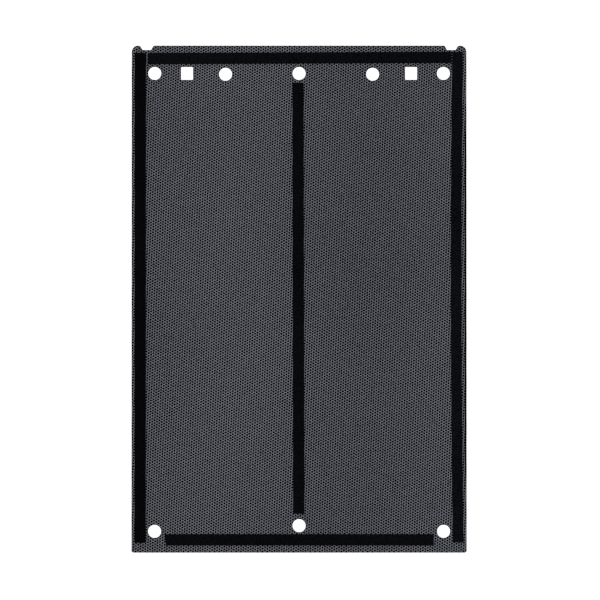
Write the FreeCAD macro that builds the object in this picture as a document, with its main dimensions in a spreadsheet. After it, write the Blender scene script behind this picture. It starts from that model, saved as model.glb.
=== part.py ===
import FreeCAD, Part
import enum
import os

import Sketcher

# Magnetic dust panel for a computer case: one die-cut sheet of perforated plastic with five
# self-adhesive magnetic strips on its inner face. The panel lies on its outer face, z = 0,
# with the strips up, its top edge towards +Y and its middle at the origin.

doc = FreeCAD.newDocument("case_panel")

# The points of a line or arc, counted from 1 as a sketch's constraints count them
Point = enum.IntEnum("Point", "START END MIDDLE")
# Lengths that differ by less than this are the same, in millimetres
NEAR = 1e-4
# Driving dimensions: millimetres, degrees and counts
dimensions = {
    # Sheet: its outline, the ears at its top corners and the notches beside them
    "sheet_width": 242.0,
    "sheet_height": 366.4,
    "sheet_thickness": 1.0,
    "ear_radius": 4.6,
    "ear_shoulder_radius": 2.0,
    "ear_flat": 0.15,
    "notch_mouth": 9.8,
    "notch_floor": 6.4,
    "notch_depth": 3.2,
    "notch_radius": 1.2,
    "foot_radius": 1.5,
    # Cut-outs: the corner holes clear the side strips, the top row clears the top strip
    "round_diameter": 9.6,
    "square_width": 8.85,
    "square_height": 9.5,
    "square_radius": 0.8,
    "corner_hole_clearance": 1.6,
    "top_row_clearance": 2.7,
    "inner_hole_drop": 0.6,
    "square_step": 23.35,
    "inner_hole_step": 51.2,
    "low_corner_rise": 15.3,
    "low_middle_clearance": 1.3,
    # Mesh: a staggered grid of openings that leans a little on the sheet
    "opening_width": 14.5,
    "opening_pitch": 23.5,
    "mesh_lean_angle": 3.1,
    "mesh_margin": 1.0,
    # Strips: their section, then where each one starts and ends and how it was laid
    "strip_width": 8.0,
    "strip_thickness": 1.5,
    "strip_edge_bevel": 0.3,
    "left_strip_margin": 2.2,
    "left_strip_notch_gap": 2.2,
    "left_strip_foot_gap": 7.2,
    "right_strip_width": 7.5,
    "right_strip_margin": 2.65,
    "right_strip_bow": 1.25,
    "right_strip_lean": 0.25,
    "right_strip_notch_gap": 1.5,
    "right_strip_foot_gap": 7.5,
    "top_strip_notch_gap": 1.35,
    "top_strip_drop": 0.9,
    "top_strip_left_gap": 1.4,
    "top_strip_right_gap": 0.75,
    "centre_strip_offset": -0.8,
    "centre_strip_lean": 0.55,
    "centre_strip_top_gap": 2.15,
    "centre_strip_low_gap": 4.0,
    "bottom_strip_margin": 5.3,
    "bottom_strip_end_gap": 2.5,
    "bottom_strip_slant": 1.1,
}

# Places that several pieces share, measured from the middle of the sheet
places = {
    "half_width": "=sheet_width / 2",
    "half_height": "=sheet_height / 2",
    "notch_slope": "=atan(2 * notch_depth / (notch_mouth - notch_floor))",
    "ear_width": "=ear_radius + ear_flat + ear_shoulder_radius * tan(notch_slope / 2)",
    "round_radius": "=round_diameter / 2",
    "side_strip_x": "=half_width - left_strip_margin - strip_width",
    "corner_x": "=side_strip_x - corner_hole_clearance - round_radius",
    "square_x": "=corner_x - square_step",
    "inner_x": "=corner_x - inner_hole_step",
    "top_strip_top": "=half_height - notch_depth - top_strip_notch_gap",
    "top_row_y": "=top_strip_top - strip_width - top_row_clearance - round_radius",
    "inner_y": "=top_row_y - inner_hole_drop",
    "bottom_strip_foot": "=-half_height + bottom_strip_margin",
    "low_corner_y": "=-half_height + low_corner_rise",
    "low_middle_y": "=bottom_strip_foot + strip_width + low_middle_clearance + round_radius",
    # The mesh keeps clear of the side strips and of the cut-outs above and below it
    "mesh_top": "=inner_y - round_radius - mesh_margin",
    "mesh_low": "=low_middle_y + round_radius + mesh_margin",
    "mesh_middle": "=(mesh_top + mesh_low) / 2",
    "mesh_room_x": "=2 * (side_strip_x - mesh_margin)",
    "mesh_room_y": "=mesh_top - mesh_low",
    "mesh_cos": "=cos(mesh_lean_angle * 1 deg)",
    "mesh_sin": "=sin(mesh_lean_angle * 1 deg)",
    "mesh_width": "=(mesh_room_x - mesh_room_y * mesh_sin) / mesh_cos",
    "mesh_height": "=(mesh_room_y - mesh_room_x * mesh_sin) / mesh_cos",
    "opening_radius": "=opening_width / sqrt(3)",
    "column_pitch": "=opening_pitch * sqrt(3) / 2",
    "column_pairs": "=floor(((mesh_width - 2 * opening_radius) / column_pitch + 1) / 2)",
    "rows": "=floor((mesh_height - opening_width) / opening_pitch + 0.5)",
    "first_column": "=-(column_pairs - 0.5) * column_pitch",
    "first_row": "=-(rows - 0.5) / 2 * opening_pitch",
    "right_strip_outer": "=half_width - right_strip_margin",
    "right_strip_low": "=-half_height + right_strip_foot_gap",
    "right_strip_top": "=half_height - notch_depth - right_strip_notch_gap",
    "right_strip_height": "=right_strip_top - right_strip_low",
    "right_strip_chord": "=sqrt(right_strip_height ^ 2 + right_strip_lean ^ 2)",
    "right_strip_radius": "=right_strip_chord ^ 2 / (8 * right_strip_bow) + right_strip_bow / 2",
}
sizes = doc.addObject("Spreadsheet::Sheet", "sizes")
for row, (alias, content) in enumerate((dimensions | places).items(), start=1):
    sizes.set(f"A{row}", alias)
    sizes.set(f"B{row}", str(content))
    sizes.setAlias(f"B{row}", alias)
doc.recompute()


def value(expression):
    """The number that an expression gives now."""
    return float(sizes.evalExpression(expression))


def origin_plane(body, role):
    """One of the body's own origin planes."""
    return next(plane for plane in body.Origin.OriginFeatures if plane.Role == role)


def new_body(name):
    body = doc.addObject("PartDesign::Body", name)
    body.Label = name
    return body


def new_sketch(body, name):
    """An empty sketch on the body's XY plane."""
    sketch = body.newObject("Sketcher::SketchObject", name)
    sketch.AttachmentSupport = [(origin_plane(body, "XY_Plane"), "")]
    sketch.MapMode = "FlatFace"
    return sketch


def dimension(sketch, constraint, expression):
    """Adds a dimension to the sketch and ties it to the sheet of sizes."""
    index = sketch.addConstraint(constraint)
    sketch.setExpression(f"Constraints[{index}]", expression)


def place_point(sketch, geometry, point, x, y):
    """Ties a point of the sketch to a place, given as two expressions."""
    origin = (-1, Point.START)
    for kind, place in (("DistanceX", x), ("DistanceY", y)):
        constraint = Sketcher.Constraint(kind, *origin, geometry, point, value(place))
        dimension(sketch, constraint, place)


def join_ends(sketch, geometry):
    """Joins lines and arcs end to start into one closed outline."""
    for before, after in zip(geometry, geometry[1:] + geometry[:1]):
        sketch.addConstraint(Sketcher.Constraint("Coincident", before, Point.END, after, Point.START))


def add_polygon(sketch, corners):
    """A closed outline of straight lines through corners, each a pair of expressions."""
    points = [FreeCAD.Vector(value(x), value(y), 0) for x, y in corners]
    ends = points[1:] + points[:1]
    lines = list(sketch.addGeometry([Part.LineSegment(*pair) for pair in zip(points, ends)]))
    join_ends(sketch, lines)
    for line, (x, y) in zip(lines, corners):
        place_point(sketch, line, Point.START, x, y)


def add_circle(sketch, x, y, radius):
    """A circle whose middle and radius are expressions."""
    middle = FreeCAD.Vector(value(x), value(y), 0)
    upwards = FreeCAD.Vector(0, 0, 1)
    circle = sketch.addGeometry(Part.Circle(middle, upwards, value(radius)))
    place_point(sketch, circle, Point.MIDDLE, x, y)
    dimension(sketch, Sketcher.Constraint("Radius", circle, value(radius)), radius)


def pad(body, sketch, name, height):
    """Thickens a closed outline upwards."""
    feature = body.newObject("PartDesign::Pad", name)
    feature.Profile = sketch
    feature.setExpression("Length", height)
    doc.recompute()
    return feature


def cut_through(body, sketch, name):
    """Cuts a closed outline out of the whole thickness above the sketch."""
    before = body.Shape.Volume
    feature = body.newObject("PartDesign::Pocket", name)
    feature.Profile = sketch
    feature.Type = "ThroughAll"
    feature.Reversed = True
    doc.recompute()
    if not body.Shape.Volume < before:
        raise RuntimeError(f"{name} cuts nothing")
    return feature


def mirror_across(body, feature, name):
    """Repeats a cut on the other side of the panel's upright middle plane."""
    mirrored = body.newObject("PartDesign::Mirrored", name)
    mirrored.Originals = [feature]
    mirrored.MirrorPlane = (origin_plane(body, "YZ_Plane"), [""])
    body.Tip = mirrored
    doc.recompute()
    return mirrored


def dress_edges(feature, measure, size, wanted):
    """Gives a fillet or chamfer its size and the edges of the last feature that wanted picks out."""
    shape = feature.BaseFeature.Shape
    edges = [f"Edge{i}" for i, edge in enumerate(shape.Edges, start=1) if wanted(edge)]
    if not edges:
        raise RuntimeError(f"{feature.Label} finds no edge")
    feature.Base = (feature.BaseFeature, edges)
    feature.setExpression(measure, size)
    doc.recompute()


def round_edges(body, name, radius, wanted):
    """Rounds the edges that wanted picks out."""
    dress_edges(body.newObject("PartDesign::Fillet", name), "Radius", radius, wanted)


def bevel_edges(body, name, size, wanted):
    """Bevels the edges that wanted picks out."""
    dress_edges(body.newObject("PartDesign::Chamfer", name), "Size", size, wanted)


def upright_at(x, y):
    """Picks out upright edges at a distance x to either side of the middle, at height y."""

    def wanted(edge):
        box = edge.BoundBox
        upright = box.XLength < NEAR and box.YLength < NEAR
        return upright and abs(abs(box.Center.x) - x) < NEAR and abs(box.Center.y - y) < NEAR

    return wanted


# Mesh sheet: die-cut from perforated roll stock, so the holes run off its edges with no plain
# border. It has an ear and a shallow notch at each top corner.
mesh_sheet = new_body("mesh_sheet")
outline = new_sketch(mesh_sheet, "sheet_outline")
add_polygon(
    outline,
    (
        ("-sizes.half_width", "-sizes.half_height"),
        ("sizes.half_width", "-sizes.half_height"),
        ("sizes.half_width", "sizes.half_height"),
        ("-sizes.half_width", "sizes.half_height"),
    ),
)
pad(mesh_sheet, outline, "sheet_blank", "sizes.sheet_thickness")

mouth_outer = "sizes.half_width - sizes.ear_width"
mouth_inner = f"{mouth_outer} - sizes.notch_mouth"
floor_outer = f"{mouth_outer} - (sizes.notch_mouth - sizes.notch_floor) / 2"
floor_inner = f"{floor_outer} - sizes.notch_floor"
floor_height = "sizes.half_height - sizes.notch_depth"
notch = new_sketch(mesh_sheet, "notch_outline")
add_polygon(
    notch,
    (
        (mouth_outer, "sizes.half_height"),
        (mouth_inner, "sizes.half_height"),
        (floor_inner, floor_height),
        (floor_outer, floor_height),
    ),
)
mirror_across(mesh_sheet, cut_through(mesh_sheet, notch, "right_notch"), "left_notch")

for name, radius, x, y in (
    ("ear_corners", "sizes.ear_radius", "sizes.half_width", "sizes.half_height"),
    ("foot_corners", "sizes.foot_radius", "sizes.half_width", "-sizes.half_height"),
    ("ear_shoulders", "sizes.ear_shoulder_radius", mouth_outer, "sizes.half_height"),
    ("notch_shoulders", "sizes.notch_radius", mouth_inner, "sizes.half_height"),
    ("notch_outer_roots", "sizes.notch_radius", floor_outer, floor_height),
    ("notch_inner_roots", "sizes.notch_radius", floor_inner, floor_height),
):
    round_edges(mesh_sheet, name, radius, upright_at(value(x), value(y)))

# Round cut-outs: five along the top edge and three along the bottom edge
rounds = new_sketch(mesh_sheet, "round_outlines")
for x, y in (
    ("-sizes.corner_x", "sizes.top_row_y"),
    ("-sizes.inner_x", "sizes.inner_y"),
    ("0", "sizes.top_row_y"),
    ("sizes.inner_x", "sizes.inner_y"),
    ("sizes.corner_x", "sizes.top_row_y"),
    ("-sizes.corner_x", "sizes.low_corner_y"),
    ("0", "sizes.low_middle_y"),
    ("sizes.corner_x", "sizes.low_corner_y"),
):
    add_circle(rounds, x, y, "sizes.round_radius")
cut_through(mesh_sheet, rounds, "round_cutouts")

# Square cut-outs: one on each side of the top row, with small rounded corners
square = new_sketch(mesh_sheet, "square_outline")
square_right = "sizes.square_x + sizes.square_width / 2"
square_left = "sizes.square_x - sizes.square_width / 2"
square_top = "sizes.top_row_y + sizes.square_height / 2"
square_low = "sizes.top_row_y - sizes.square_height / 2"
add_polygon(
    square,
    (
        (square_left, square_low),
        (square_right, square_low),
        (square_right, square_top),
        (square_left, square_top),
    ),
)
mirror_across(mesh_sheet, cut_through(mesh_sheet, square, "right_square"), "left_square")
for name, x, y in (
    ("square_corners_1", square_left, square_low),
    ("square_corners_2", square_right, square_low),
    ("square_corners_3", square_right, square_top),
    ("square_corners_4", square_left, square_top),
):
    round_edges(mesh_sheet, name, "sizes.square_radius", upright_at(value(x), value(y)))

# Mesh: the real sheet is punched with small round holes all over, 1.3 mm wide at 2 mm pitch.
# Thousands of those would swamp the model, so a coarse honeycomb of openings stands for them,
# with the same stagger, lean and share of open area.
mesh = new_sketch(mesh_sheet, "mesh_outline")


def on_mesh(column, row):
    """The place on the sheet, as two expressions, of a place along the leaning columns and rows."""
    x = f"({column}) * sizes.mesh_cos + ({row}) * sizes.mesh_sin"
    y = f"sizes.mesh_middle + ({row}) * sizes.mesh_cos - ({column}) * sizes.mesh_sin"
    return x, y


def add_opening(sketch, column, row):
    """A hexagon around a place on the mesh, with two of its corners across the columns."""
    corners = []
    for angle in range(0, 360, 60):
        corner_column = f"{column} + sizes.opening_radius * cos({angle} deg)"
        corner_row = f"{row} + sizes.opening_radius * sin({angle} deg)"
        corners.append(on_mesh(corner_column, corner_row))
    add_polygon(sketch, corners)


first = ("sizes.first_column", "sizes.first_row")
add_opening(mesh, *first)
add_opening(mesh, "sizes.first_column + sizes.column_pitch", "sizes.first_row + sizes.opening_pitch / 2")
for following in (
    ("sizes.first_column", "sizes.first_row + sizes.opening_pitch"),
    ("sizes.first_column + 2 * sizes.column_pitch", "sizes.first_row"),
):
    ends = [on_mesh(*first), on_mesh(*following)]
    start, end = [FreeCAD.Vector(value(x), value(y), 0) for x, y in ends]
    direction = mesh.addGeometry(Part.LineSegment(start, end), True)
    for point, (x, y) in zip((Point.START, Point.END), ends):
        place_point(mesh, direction, point, x, y)
first_pair = cut_through(mesh_sheet, mesh, "first_openings")
openings = mesh_sheet.newObject("PartDesign::LinearPattern", "mesh_openings")
openings.Originals = [first_pair]
openings.Direction = (mesh, ["Axis0"])
openings.Direction2 = (mesh, ["Axis1"])
openings.Mode = "Spacing"
openings.Mode2 = "Spacing"
openings.Spacings2 = openings.Spacings
openings.setExpression("Offset", "sizes.opening_pitch")
openings.setExpression("Offset2", "2 * sizes.column_pitch")
openings.setExpression("Occurrences", "sizes.rows")
openings.setExpression("Occurrences2", "sizes.column_pairs")
mesh_sheet.Tip = openings
doc.recompute()


# Strips: flexible magnet, slit to width, cut to length and stuck on the sheet by hand, so none of
# them lies quite true


def new_strip(name):
    """A body that stands on the sheet's inner face, with an empty outline."""
    body = new_body(name)
    body.setExpression("Placement.Base.z", "sizes.sheet_thickness")
    return body, new_sketch(body, f"{name}_outline")


def finish_strip(body, sketch):
    """Gives the outline its thickness and eases the two slit edges of its magnetic face."""
    pad(body, sketch, f"{body.Label}_blank", "sizes.strip_thickness")
    top = value("sizes.strip_thickness")
    longest_cut = 2 * value("sizes.strip_width")

    def slit_edge(edge):
        """A slit edge runs along the strip. The cut ends, across it, stay sharp."""
        return edge.BoundBox.ZMin > top - NEAR and edge.Length > longest_cut

    bevel_edges(body, f"{body.Label}_edges", "sizes.strip_edge_bevel", slit_edge)


def straight_strip(name, *corners):
    """A strip with straight edges between its four corners, each a pair of expressions."""
    body, sketch = new_strip(name)
    add_polygon(sketch, corners)
    finish_strip(body, sketch)
    return body


left_outer = "-sizes.half_width + sizes.left_strip_margin"
left_inner = "-sizes.side_strip_x"
left_low = "-sizes.half_height + sizes.left_strip_foot_gap"
left_top = "sizes.half_height - sizes.notch_depth - sizes.left_strip_notch_gap"
left_strip = straight_strip(
    "left_strip",
    (left_outer, left_low),
    (left_inner, left_low),
    (left_inner, left_top),
    (left_outer, left_top),
)

# The right strip lies in a slight bow, hollow towards the sheet's right edge, with its foot
# further out than its top
right_strip, bowed = new_strip("right_strip")
right_outer = "sizes.right_strip_outer"
right_inner = "sizes.right_strip_outer - sizes.right_strip_width"
bow = FreeCAD.Vector(value("sizes.right_strip_bow"), 0, 0)
sides = []
for top_x in (right_inner, right_outer):
    foot_x = f"{top_x} + sizes.right_strip_lean"
    upper = FreeCAD.Vector(value(top_x), value("sizes.right_strip_top"), 0)
    lower = FreeCAD.Vector(value(foot_x), value("sizes.right_strip_low"), 0)
    side = bowed.addGeometry(Part.ArcOfCircle(upper, (upper + lower) / 2 - bow, lower))
    place_point(bowed, side, Point.START, top_x, "sizes.right_strip_top")
    place_point(bowed, side, Point.END, foot_x, "sizes.right_strip_low")
    radius = Sketcher.Constraint("Radius", side, bowed.Geometry[side].Radius)
    dimension(bowed, radius, "sizes.right_strip_radius")
    sides.append(side)
for cut in (Point.START, Point.END):
    corners = [bowed.getPoint(side, cut) for side in sides]
    line = bowed.addGeometry(Part.LineSegment(*corners))
    bowed.addConstraint(Sketcher.Constraint("Coincident", line, Point.START, sides[0], cut))
    bowed.addConstraint(Sketcher.Constraint("Coincident", line, Point.END, sides[1], cut))
finish_strip(right_strip, bowed)

# The centre strip leans a little, between the middle holes of the top and bottom rows
centre_top_x = "sizes.centre_strip_offset"
centre_foot_x = "sizes.centre_strip_offset + sizes.centre_strip_lean"
centre_top = "sizes.top_row_y - sizes.round_radius - sizes.centre_strip_top_gap"
centre_low = "sizes.low_middle_y + sizes.round_radius + sizes.centre_strip_low_gap"
centre_strip = straight_strip(
    "centre_strip",
    (f"{centre_foot_x} - sizes.strip_width / 2", centre_low),
    (f"{centre_foot_x} + sizes.strip_width / 2", centre_low),
    (f"{centre_top_x} + sizes.strip_width / 2", centre_top),
    (f"{centre_top_x} - sizes.strip_width / 2", centre_top),
)

# The top strip fits between the side strips and drops towards its left end
top_left = "-sizes.side_strip_x + sizes.top_strip_left_gap"
top_right = f"{right_inner} - sizes.top_strip_right_gap"
top_left_y = "sizes.top_strip_top - sizes.top_strip_drop"
top_strip = straight_strip(
    "top_strip",
    (top_left, f"{top_left_y} - sizes.strip_width"),
    (top_right, "sizes.top_strip_top - sizes.strip_width"),
    (top_right, "sizes.top_strip_top"),
    (top_left, top_left_y),
)

# The bottom strip ends beside the corner holes, and its left end was cut aslant
bottom_reach = "sizes.corner_x - sizes.round_radius - sizes.bottom_strip_end_gap"
bottom_top = "sizes.bottom_strip_foot + sizes.strip_width"
bottom_strip = straight_strip(
    "bottom_strip",
    (f"-({bottom_reach}) + sizes.bottom_strip_slant", "sizes.bottom_strip_foot"),
    (bottom_reach, "sizes.bottom_strip_foot"),
    (bottom_reach, bottom_top),
    (f"-({bottom_reach})", bottom_top),
)

# Every piece has to be sound before any is written
pieces = (mesh_sheet, left_strip, right_strip, centre_strip, top_strip, bottom_strip)
doc.recompute()
for thing in doc.Objects:
    if {"Invalid", "Error"} & set(thing.State):
        raise RuntimeError(f"{thing.Label} failed: {thing.State}")
for piece in pieces:
    if piece.Shape.isNull() or not piece.Shape.isValid() or len(piece.Shape.Solids) != 1:
        raise RuntimeError(f"{piece.Label} is not one sound solid")

os.makedirs("parts", exist_ok=True)
for piece in pieces:
    piece.Shape.exportStep(f"parts/{piece.Label}.step")
    print(f"{piece.Label}: {piece.Shape.Volume:.1f} mm3, {piece.Shape.BoundBox}")
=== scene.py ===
from itertools import combinations
from math import cos, pi, radians, sin, sqrt

import bpy
import numpy as np
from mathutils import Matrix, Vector


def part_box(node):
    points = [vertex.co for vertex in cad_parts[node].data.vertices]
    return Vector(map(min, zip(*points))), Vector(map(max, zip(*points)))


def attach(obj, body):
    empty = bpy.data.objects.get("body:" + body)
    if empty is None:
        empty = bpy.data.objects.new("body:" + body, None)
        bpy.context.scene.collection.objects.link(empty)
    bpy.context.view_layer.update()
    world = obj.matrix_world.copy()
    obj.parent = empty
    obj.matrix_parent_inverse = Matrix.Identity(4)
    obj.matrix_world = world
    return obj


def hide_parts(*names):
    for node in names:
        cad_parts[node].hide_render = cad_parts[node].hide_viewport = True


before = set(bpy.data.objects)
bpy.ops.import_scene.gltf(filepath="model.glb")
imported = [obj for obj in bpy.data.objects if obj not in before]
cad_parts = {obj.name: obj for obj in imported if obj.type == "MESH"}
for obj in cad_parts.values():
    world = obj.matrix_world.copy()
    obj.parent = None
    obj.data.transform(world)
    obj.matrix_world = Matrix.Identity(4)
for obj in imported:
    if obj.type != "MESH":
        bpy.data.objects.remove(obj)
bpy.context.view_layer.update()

# Mesh sheet. The panel is one piece of dark grey plastic film, punched all over with round holes on a
# staggered lattice while it was on the roll. The outline and the cut-outs were die-cut afterwards,
# so they run through the holes wherever they fall.
sheet_low, sheet_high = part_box("mesh_sheet")
sheet_width = sheet_high.x - sheet_low.x
sheet_thickness = sheet_high.z - sheet_low.z
hole_diameter = 0.0013
hole_pitch = 0.0020077
column_step = 0.0017259
hole_sides = 8
lattice_lean = radians(3.1)
lattice_datum = Vector((0.00064, -0.00080, 0.0))
band_count = 6
rows_per_band = 32
column_pairs = 78
merge_reach = 1e-6

# The eight-sided hole is as open as the round one
hole_reach = hole_diameter / 2 * sqrt(2 * pi / (hole_sides * sin(2 * pi / hole_sides)))


def work_on(piece):
    """Makes the piece the only selected object, and the active one"""
    bpy.ops.object.select_all(action="DESELECT")
    piece.select_set(True)
    bpy.context.view_layer.objects.active = piece


def select_points(piece, wanted):
    """Selects the piece's points whose places are wanted, and stays in edit mode"""
    bpy.ops.object.mode_set(mode="EDIT")
    bpy.ops.mesh.select_mode(type="VERT")
    bpy.ops.mesh.select_all(action="DESELECT")
    bpy.ops.object.mode_set(mode="OBJECT")
    for point in piece.data.vertices:
        point.select = wanted(point.co)
    bpy.ops.object.mode_set(mode="EDIT")


def select_faces(piece, wanted):
    """Selects the piece's faces that are wanted, and stays in edit mode"""
    bpy.ops.object.mode_set(mode="EDIT")
    bpy.ops.mesh.select_mode(type="FACE")
    bpy.ops.mesh.select_all(action="DESELECT")
    bpy.ops.object.mode_set(mode="OBJECT")
    for face in piece.data.polygons:
        face.select = wanted(face)
    bpy.ops.object.mode_set(mode="EDIT")


def finish_with(piece, kind, **settings):
    """Adds a modifier to the piece and applies it"""
    modifier = piece.modifiers.new(kind.title(), kind)
    for setting, amount in settings.items():
        setattr(modifier, setting, amount)
    bpy.ops.object.modifier_apply(modifier=modifier.name)


def repeat(piece, count, step):
    """Repeats the piece in a row and joins the copies where they meet"""
    finish_with(
        piece,
        "ARRAY",
        count=count,
        use_relative_offset=False,
        use_constant_offset=True,
        constant_offset_displace=step,
        use_merge_vertices=True,
        merge_threshold=merge_reach,
    )


# Rims of the seven holes of two neighbouring columns, tied across each neck, then the webs between
bpy.ops.object.select_all(action="DESELECT")
hole_places = ((0, 0), (0, 1), (1, -0.5), (1, 0.5), (1, 1.5), (2, 0), (2, 1))
holes = [Vector((column * column_step, row * hole_pitch, 0)) for column, row in hole_places]
bpy.ops.mesh.primitive_circle_add(vertices=hole_sides, radius=hole_reach, location=holes[0])
lattice = bpy.context.object
bpy.ops.object.mode_set(mode="EDIT")
for hole in holes[1:]:
    bpy.ops.mesh.primitive_circle_add(vertices=hole_sides, radius=hole_reach, location=hole)
neighbour_reach = 1.1 * hole_pitch
neck_reach = 0.25 * hole_pitch
for hole, neighbour in combinations(holes, 2):
    if (hole - neighbour).length < neighbour_reach:
        neck = (hole + neighbour) / 2
        select_points(lattice, lambda place: (place - neck).length < neck_reach)
        bpy.ops.mesh.edge_face_add()
web_reach = 0.46 * hole_pitch
for third, row in ((1, 0.5), (2, 0), (4, 1), (5, 0.5)):
    web = Vector((third * column_step / 3, row * hole_pitch, 0))
    select_points(lattice, lambda place: (place - web).length < web_reach)
    bpy.ops.mesh.edge_face_add()
bpy.ops.mesh.select_all(action="SELECT")
bpy.ops.mesh.delete_loose(use_verts=True, use_edges=True, use_faces=False)
select_faces(lattice, lambda face: face.normal.z < 0)
bpy.ops.mesh.flip_normals()
bpy.ops.object.mode_set(mode="OBJECT")

# One band of the roll, as wide as the leaning sheet needs
repeat(lattice, column_pairs, (2 * column_step, 0, 0))
repeat(lattice, rows_per_band, (0, hole_pitch, 0))
finish_with(lattice, "SOLIDIFY", thickness=sheet_thickness, offset=1)
lattice.location = (-column_pairs * column_step, -band_count * rows_per_band / 2 * hole_pitch, 0)
bpy.ops.object.transform_apply(location=True)
lattice.rotation_euler.z = -lattice_lean
lattice.location = lattice_datum
bpy.ops.object.transform_apply(location=True, rotation=True)

# The die: walls of the sheet's outline and cut-outs, without those of the coarse mesh between them,
# made taller and closed above and below
die = bpy.data.objects.new("die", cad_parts["mesh_sheet"].data.copy())
bpy.context.collection.objects.link(die)
work_on(die)
die_height = 3 * sheet_thickness
mesh_half_width = 0.112
mesh_half_height = 0.155
bpy.ops.object.mode_set(mode="EDIT")
bpy.ops.mesh.select_all(action="SELECT")
bpy.ops.mesh.remove_doubles(threshold=merge_reach)
select_faces(
    die,
    lambda face: abs(face.normal.z) > 0.5
    or (abs(face.center.x) < mesh_half_width and abs(face.center.y) < mesh_half_height),
)
bpy.ops.mesh.delete(type="FACE")
bpy.ops.object.mode_set(mode="OBJECT")
die.scale.z = die_height / sheet_thickness
die.location.z = -sheet_thickness
bpy.ops.object.transform_apply(location=True, scale=True)
for is_rim in (lambda place: place.z > sheet_thickness, lambda place: place.z < 0):
    select_points(die, is_rim)
    bpy.ops.mesh.fill()
bpy.ops.mesh.select_all(action="SELECT")
bpy.ops.mesh.normals_make_consistent(inside=False)
bpy.ops.object.mode_set(mode="OBJECT")


def lay_flat(band):
    """Maps the band as if unfolded: upper side, lower side beyond it, each hole's wall inside its hole"""
    mesh = band.data
    corners = np.empty(len(mesh.loops), dtype=np.int32)
    mesh.loops.foreach_get("vertex_index", corners)
    places = np.empty(3 * len(mesh.vertices), dtype=np.float32)
    mesh.vertices.foreach_get("co", places)
    places = places.reshape(-1, 3)[corners]
    normals = np.empty(3 * len(mesh.polygons), dtype=np.float32)
    mesh.polygons.foreach_get("normal", normals)
    corners_per_face = np.empty(len(mesh.polygons), dtype=np.int32)
    mesh.polygons.foreach_get("loop_total", corners_per_face)
    facing = np.repeat(normals.reshape(-1, 3)[:, 2], corners_per_face)

    across = places[:, 0] - lattice_datum.x
    along = places[:, 1] - lattice_datum.y
    column = across * cos(lattice_lean) - along * sin(lattice_lean)
    row = across * sin(lattice_lean) + along * cos(lattice_lean)
    even_column = column - 2 * column_step * np.round(column / (2 * column_step))
    even_row = row - hole_pitch * np.round(row / hole_pitch)
    odd_column = column - column_step - 2 * column_step * np.round(column / (2 * column_step) - 0.5)
    odd_row = row - hole_pitch / 2 - hole_pitch * np.round(row / hole_pitch - 0.5)
    nearer_odd = np.hypot(odd_column, odd_row) < np.hypot(even_column, even_row)
    from_hole_column = np.where(nearer_odd, odd_column, even_column)
    from_hole_row = np.where(nearer_odd, odd_row, even_row)

    wall_share = 0.5
    is_wall = np.abs(facing) < 0.5
    inwards = np.where(is_wall, wall_share * (1 - places[:, 2] / sheet_thickness), 0)
    across_map = places[:, 0] - inwards * (
        from_hole_column * cos(lattice_lean) + from_hole_row * sin(lattice_lean)
    )
    along_map = places[:, 1] - inwards * (
        from_hole_row * cos(lattice_lean) - from_hole_column * sin(lattice_lean)
    )
    lower_side = 0.34
    flat = np.empty((len(corners), 2), dtype=np.float32)
    flat[:, 0] = (across_map - sheet_low.x) / sheet_width
    flat[:, 1] = (along_map - places[:, 1].min()) / sheet_width + np.where(facing < -0.5, lower_side, 0)
    mesh.uv_layers.new(name="OFBake").uv.foreach_set("vector", np.clip(flat, 0, 1).ravel())


def new_finish(name):
    """Starts a material, and gives it with its nodes and its main shader"""
    finish = bpy.data.materials.new(name)
    finish.use_nodes = True
    return finish, finish.node_tree, finish.node_tree.nodes["Principled BSDF"]


def grain(tree, lumps_per_metre, stretch=(1, 1, 1), detail=2.0):
    """Noise through the piece's own space"""
    places = tree.nodes.new("ShaderNodeTexCoord")
    mapping = tree.nodes.new("ShaderNodeMapping")
    mapping.inputs["Scale"].default_value = stretch
    noise = tree.nodes.new("ShaderNodeTexNoise")
    noise.inputs["Scale"].default_value = lumps_per_metre
    noise.inputs["Detail"].default_value = detail
    tree.links.new(places.outputs["Object"], mapping.inputs["Vector"])
    tree.links.new(mapping.outputs["Vector"], noise.inputs["Vector"])
    return noise.outputs["Fac"]


def spread(tree, amount, low, high, start=0.3, end=0.7):
    """Spreads what lies between start and end, by default a noise's middle range, from low to high"""
    span = tree.nodes.new("ShaderNodeMapRange")
    span.inputs["From Min"].default_value = start
    span.inputs["From Max"].default_value = end
    span.inputs["To Min"].default_value = low
    span.inputs["To Max"].default_value = high
    tree.links.new(amount, span.inputs["Value"])
    return span.outputs["Result"]


def joined(tree, operation, one, other):
    """Two amounts put together by a math operation"""
    result = tree.nodes.new("ShaderNodeMath")
    result.operation = operation
    tree.links.new(one, result.inputs[0])
    tree.links.new(other, result.inputs[1])
    return result.outputs["Value"]


def shaded(tree, amount, dark, light):
    """A colour between dark and light"""
    mix = tree.nodes.new("ShaderNodeMix")
    mix.data_type = "RGBA"
    mix.inputs["A"].default_value = (*dark, 1)
    mix.inputs["B"].default_value = (*light, 1)
    tree.links.new(amount, mix.inputs["Factor"])
    return mix.outputs["Result"]


def roughen(tree, shader, height, depth, strength):
    """Raises the surface by a noise, up to the depth in metres"""
    bump = tree.nodes.new("ShaderNodeBump")
    bump.inputs["Distance"].default_value = depth
    bump.inputs["Strength"].default_value = strength
    tree.links.new(height, bump.inputs["Height"])
    tree.links.new(bump.outputs["Normal"], shader.inputs["Normal"])


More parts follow.
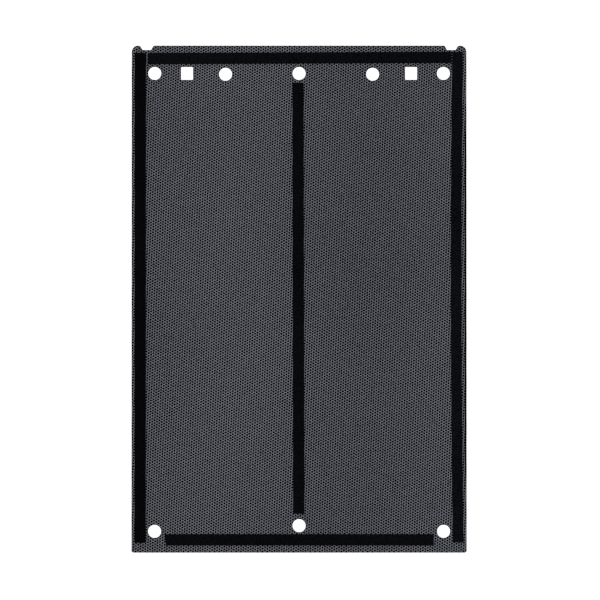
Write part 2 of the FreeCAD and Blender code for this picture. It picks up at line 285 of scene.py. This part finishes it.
# Matt calendered film: broad bands of painted light and shade across the roll for its slight waviness,
# faint clouds, a fine mottle and a pebbled grain. A wave texture of scale one turns by 20 radians in a
# metre.
film, film_tree, film_shader = new_finish("grey_film")
film_places = film_tree.nodes.new("ShaderNodeTexCoord").outputs["Object"]
wave_rate = 20
ripple_length = 0.173
ripple_start = 4.69
roll = film_tree.nodes.new("ShaderNodeMapping")
roll.inputs["Rotation"].default_value = (0, 0, lattice_lean)
film_tree.links.new(film_places, roll.inputs["Vector"])
ripple = film_tree.nodes.new("ShaderNodeTexWave")
ripple.inputs["Scale"].default_value = 2 * pi / (wave_rate * ripple_length)
ripple.inputs["Phase Offset"].default_value = ripple_start
film_tree.links.new(roll.outputs["Vector"], ripple.inputs["Vector"])
clouds = grain(film_tree, lumps_per_metre=7, detail=1.0)
mottle = grain(film_tree, lumps_per_metre=1900)
pebbles = grain(film_tree, lumps_per_metre=2600)
# Painted light and shade: the ripple's lighter and darker bands stand in for the film's waviness under
# the lamps
painted_ripple_shade = spread(film_tree, ripple.outputs["Fac"], low=0.0, high=0.09, start=0.0, end=1.0)
cloud_tone = spread(film_tree, clouds, low=0.0, high=0.06)
mottle_tone = spread(film_tree, mottle, low=-0.2, high=1.2)
film_tone = joined(film_tree, "ADD", painted_ripple_shade, joined(film_tree, "ADD", cloud_tone, mottle_tone))
film_dark = (0.0020, 0.0021, 0.0024)
film_light = (0.1870, 0.1920, 0.2180)
film_colour = shaded(film_tree, film_tone, film_dark, film_light)

# Painted shadow: the right edge is darkened along the middle, standing in for the shade of the edge there
edge_width = 0.00122
edge_fade = 0.0001
edge_reach = 0.131
reach_fade = 0.012
edge_shadow_grey = 0.001
film_axes = film_tree.nodes.new("ShaderNodeSeparateXYZ")
film_tree.links.new(film_places, film_axes.inputs["Vector"])
edge_start = sheet_high.x - edge_width
clear_of_edge = spread(
    film_tree,
    film_axes.outputs["X"],
    low=1.0,
    high=0.0,
    start=edge_start - edge_fade,
    end=edge_start + edge_fade,
)
from_middle = film_tree.nodes.new("ShaderNodeMath")
from_middle.operation = "ABSOLUTE"
film_tree.links.new(film_axes.outputs["Y"], from_middle.inputs[0])
past_ends = spread(
    film_tree,
    from_middle.outputs["Value"],
    low=0.0,
    high=1.0,
    start=edge_reach - reach_fade,
    end=edge_reach + reach_fade,
)
unshadowed_share = joined(film_tree, "MAXIMUM", clear_of_edge, past_ends)
# The painted shadow along the right edge darkens the film's colour here
edge_shadow_mix = film_tree.nodes.new("ShaderNodeMix")
edge_shadow_mix.data_type = "RGBA"
edge_shadow_mix.inputs["A"].default_value = (edge_shadow_grey, edge_shadow_grey, edge_shadow_grey, 1)
film_tree.links.new(film_colour, edge_shadow_mix.inputs["B"])
film_tree.links.new(unshadowed_share, edge_shadow_mix.inputs["Factor"])
film_tree.links.new(edge_shadow_mix.outputs["Result"], film_shader.inputs["Base Color"])
film_shader.inputs["Specular IOR Level"].default_value = 0.05
film_tree.links.new(spread(film_tree, pebbles, low=0.68, high=0.82), film_shader.inputs["Roughness"])
roughen(film_tree, film_shader, pebbles, depth=0.00003, strength=0.4)

bands = [lattice]
for band_number in range(1, band_count):
    work_on(lattice)
    bpy.ops.object.duplicate()
    band = bpy.context.object
    along = band_number * rows_per_band * hole_pitch
    band.location = (along * sin(lattice_lean), along * cos(lattice_lean), 0)
    bpy.ops.object.transform_apply(location=True)
    bands.append(band)
for band_number, band in enumerate(bands, 1):
    work_on(band)
    finish_with(band, "BOOLEAN", operation="INTERSECT", solver="MANIFOLD", object=die)
    bpy.ops.object.shade_smooth_by_angle(angle=radians(50))
    lay_flat(band)
    band.name = f"mesh_band_{band_number}"
    band.data.materials.clear()
    band.data.materials.append(film)
    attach(band, "root")
    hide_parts("mesh_sheet")

# Magnetic strips. Five lengths of black rubber-bonded magnet, slit from a wide calendered sheet and
# cut to length with shears, are stuck to the film by their own adhesive, each a little out of true.
slit_rounding = 0.0001


def rubber(name, stretch, level):
    """Matt black rubber at its own level of grey, specked, and streaked along by the calender rolls"""
    finish, tree, shader = new_finish(name)
    streaks = grain(tree, lumps_per_metre=400, stretch=stretch)
    specks = grain(tree, lumps_per_metre=1100)
    drift = grain(tree, lumps_per_metre=14, detail=0.0)
    drift_tone = spread(tree, drift, low=0.0, high=0.15)
    streak_tone = spread(tree, streaks, low=0.0, high=0.15)
    speck_tone = spread(tree, specks, low=0.0, high=0.7, start=0.36, end=0.64)
    tone = joined(tree, "ADD", drift_tone, joined(tree, "ADD", streak_tone, speck_tone))
    cool_tint = (2.4, 2.55, 3.4)
    dark = (0.0, 0.0, 0.0)
    light = [share * level for share in cool_tint]
    tree.links.new(shaded(tree, tone, dark, light), shader.inputs["Base Color"])
    tree.links.new(spread(tree, streaks, low=0.80, high=0.95), shader.inputs["Roughness"])
    shader.inputs["Specular IOR Level"].default_value = 0.02
    roughen(tree, shader, joined(tree, "ADD", streaks, specks), depth=0.00002, strength=0.5)
    return finish


along_sheet = (1, 0.03, 1)
across_sheet = (0.03, 1, 1)
for node, stretch, level in (
    ("left_strip", along_sheet, 0.0010),
    ("right_strip", along_sheet, 0.0027),
    ("centre_strip", along_sheet, 0.0018),
    ("top_strip", across_sheet, 0.0022),
    ("bottom_strip", across_sheet, 0.0020),
):
    strip = bpy.data.objects.new(f"{node}_rubber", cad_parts[node].data.copy())
    bpy.context.collection.objects.link(strip)
    work_on(strip)
    bpy.ops.object.mode_set(mode="EDIT")
    bpy.ops.mesh.select_all(action="SELECT")
    bpy.ops.mesh.remove_doubles(threshold=merge_reach)
    bpy.ops.mesh.dissolve_limited(angle_limit=radians(0.05))
    bpy.ops.object.mode_set(mode="OBJECT")
    finish_with(
        strip,
        "BEVEL",
        width=slit_rounding,
        segments=2,
        limit_method="ANGLE",
        angle_limit=radians(20),
    )
    bpy.ops.object.shade_smooth_by_angle(angle=radians(40))
    strip.data.materials.clear()
    strip.data.materials.append(rubber(f"{node}_finish", stretch, level))
    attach(strip, "root")
    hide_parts(node)

# Stage. The panel lies on white paper, and a black card of its own outline lies under it, so that
# its small holes look dark and its cut-outs white.
card_thickness = 0.0002
card_gap = 0.00002
die.name = "card"
die.data.materials.clear()
card = die
work_on(card)
card.scale.z = card_thickness / die_height
card.location.z = -card_gap - card_thickness + card.scale.z * sheet_thickness
bpy.ops.object.transform_apply(location=True, scale=True)
card_finish, card_tree, card_shader = new_finish("black_card")
card_shader.inputs["Base Color"].default_value = (0.0015, 0.0018, 0.0034, 1)
card_shader.inputs["Roughness"].default_value = 1.0
card_shader.inputs["Specular IOR Level"].default_value = 0.0
card.data.materials.append(card_finish)

floor_side = 12.0
paper_own = 0.30
paper_glow = 0.76
bpy.ops.object.select_all(action="DESELECT")
bpy.ops.mesh.primitive_plane_add(size=floor_side, location=(0, 0, -card_thickness - 2 * card_gap))
floor = bpy.context.object
floor.name = "floor"
paper, paper_tree, paper_shader = new_finish("white_paper")
paper_shader.inputs["Base Color"].default_value = (paper_own, paper_own, paper_own, 1)
paper_shader.inputs["Roughness"].default_value = 1.0
paper_shader.inputs["Specular IOR Level"].default_value = 0.0
paper_shader.inputs["Emission Color"].default_value = (paper_glow, paper_glow, paper_glow, 1)


def seen(tree):
    """One where the camera sees the surface, straight, mirrored or through something"""
    rays = tree.nodes.new("ShaderNodeLightPath")
    mirrored = joined(tree, "ADD", rays.outputs["Is Glossy Ray"], rays.outputs["Is Transmission Ray"])
    return joined(tree, "ADD", rays.outputs["Is Camera Ray"], mirrored)


paper_tree.links.new(seen(paper_tree), paper_shader.inputs["Emission Strength"])
floor.data.materials.append(paper)

# Lamps. One large soft box hangs over the panel and four stand round it, the left ones nearer.
# With the faint light of the room their shares make about one, at which a colour looks as written.
soft_box_side = 1.2
for name, azimuth, elevation, distance, share in (
    ("overhead", 0, 90, 2.6, 0.58),
    ("back_right", 45, 38, 2.2, 0.05),
    ("back_left", 135, 38, 1.5, 0.14),
    ("front_left", 225, 38, 1.5, 0.14),
    ("front_right", 315, 38, 2.2, 0.05),
):
    turn = radians(azimuth)
    rise = radians(elevation)
    lamp_data = bpy.data.lights.new(name, "AREA")
    lamp_data.shape = "SQUARE"
    lamp_data.size = soft_box_side
    lamp_data.energy = share * pi**2 * distance**2 / sin(rise)
    lamp = bpy.data.objects.new(name, lamp_data)
    bpy.context.collection.objects.link(lamp)
    lamp.location = distance * Vector((cos(turn) * cos(rise), sin(turn) * cos(rise), sin(rise)))
    lamp.rotation_euler = (-lamp.location).to_track_quat("-Z", "Y").to_euler()

world = bpy.data.worlds.new("studio")
bpy.context.scene.world = world
world.use_nodes = True
background = world.node_tree.nodes["Background"]
backdrop_grey = 0.86
room_light = 0.06
background.inputs["Color"].default_value = (backdrop_grey, backdrop_grey, backdrop_grey, 1)
level = world.node_tree.nodes.new("ShaderNodeMath")
level.operation = "MAXIMUM"
level.inputs[1].default_value = room_light
world.node_tree.links.new(seen(world.node_tree), level.inputs[0])
world.node_tree.links.new(level.outputs["Value"], background.inputs["Strength"])

# Camera. It looks down on the panel from far enough to see hardly any wall of the holes, leaning half
# a degree towards the foot, and its frame is as wide as the photograph's.
view_width = 0.4336
view_middle = Vector((0.00067, -0.00076, 0.0))
camera_height = 2.0
camera_lean = radians(0.5)
camera_data = bpy.data.cameras.new("camera")
camera_data.lens = camera_data.sensor_width * (camera_height - sheet_thickness) / view_width
camera = bpy.data.objects.new("camera", camera_data)
bpy.context.collection.objects.link(camera)
camera.location = view_middle + camera_height * Vector((0, -sin(camera_lean), cos(camera_lean)))
camera.rotation_euler.x = camera_lean
bpy.context.scene.camera = camera
bpy.context.scene.view_settings.view_transform = "Standard"
# A crisp pixel filter, and no clean-up that would smear and tint the small holes
bpy.context.scene.cycles.filter_width = 1.2
bpy.context.scene.cycles.use_denoising = False
